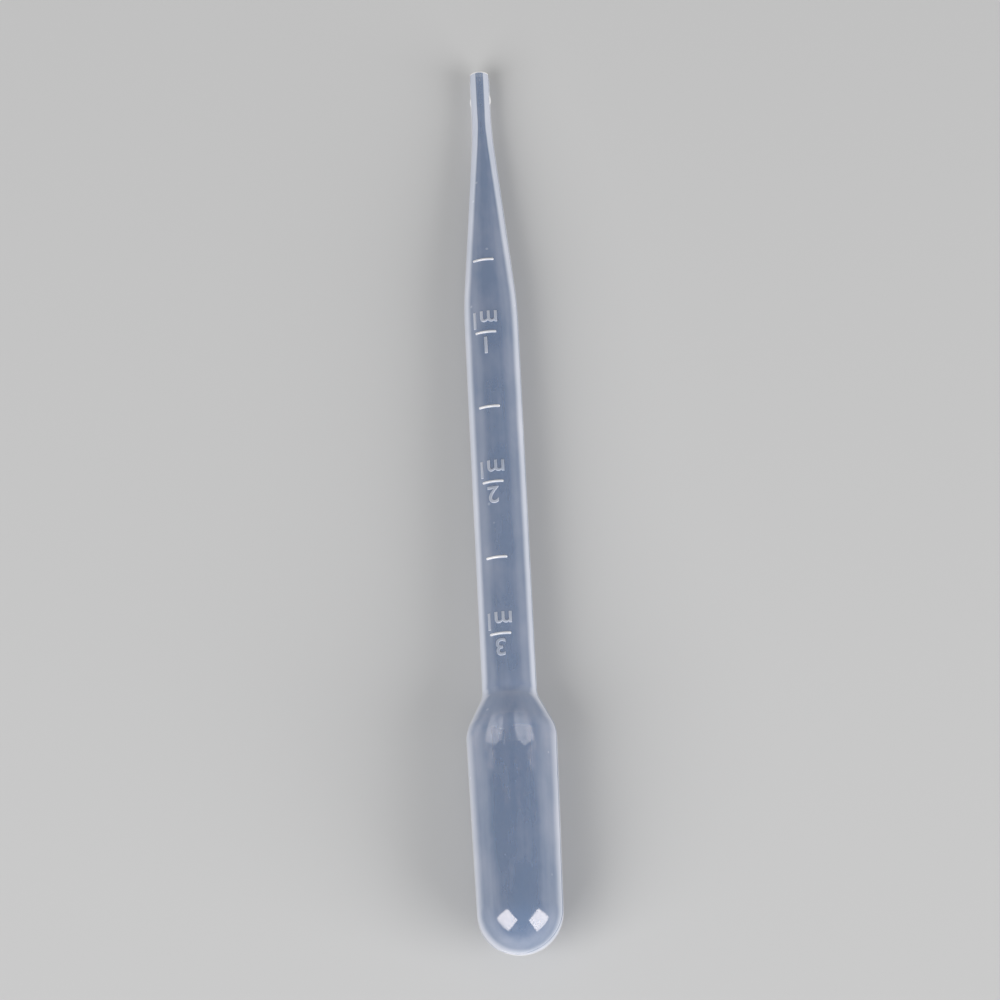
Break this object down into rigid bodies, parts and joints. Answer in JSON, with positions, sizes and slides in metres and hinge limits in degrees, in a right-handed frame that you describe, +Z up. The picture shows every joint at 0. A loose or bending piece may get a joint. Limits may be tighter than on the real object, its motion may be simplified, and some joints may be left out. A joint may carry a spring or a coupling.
{
  "type": "plastic dropper pipette",
  "caption": "Disposable one-piece dropper pipette lying on its side: open nozzle, tapered graduated stem and a round-ended squeeze bulb in milky translucent plastic.",
  "frame": {"origin": "middle of the base of the bounding box, on the surface the pipette lies on", "axes": "+Y along the pipette towards its open tip, +Z up from the surface it lies on; the pipette's own axis dips 2.24 degrees towards the tip, and its graduations face up, turned 13.5 degrees towards -X"},
  "size_m": [0.0142, 0.15, 0.0149],
  "materials": {
    "polyethylene": "milky translucent, smooth with a soft gloss"
  },
  "bodies": {
    "root": {"pipette_body": "polyethylene"}
  },
  "joints": []
}
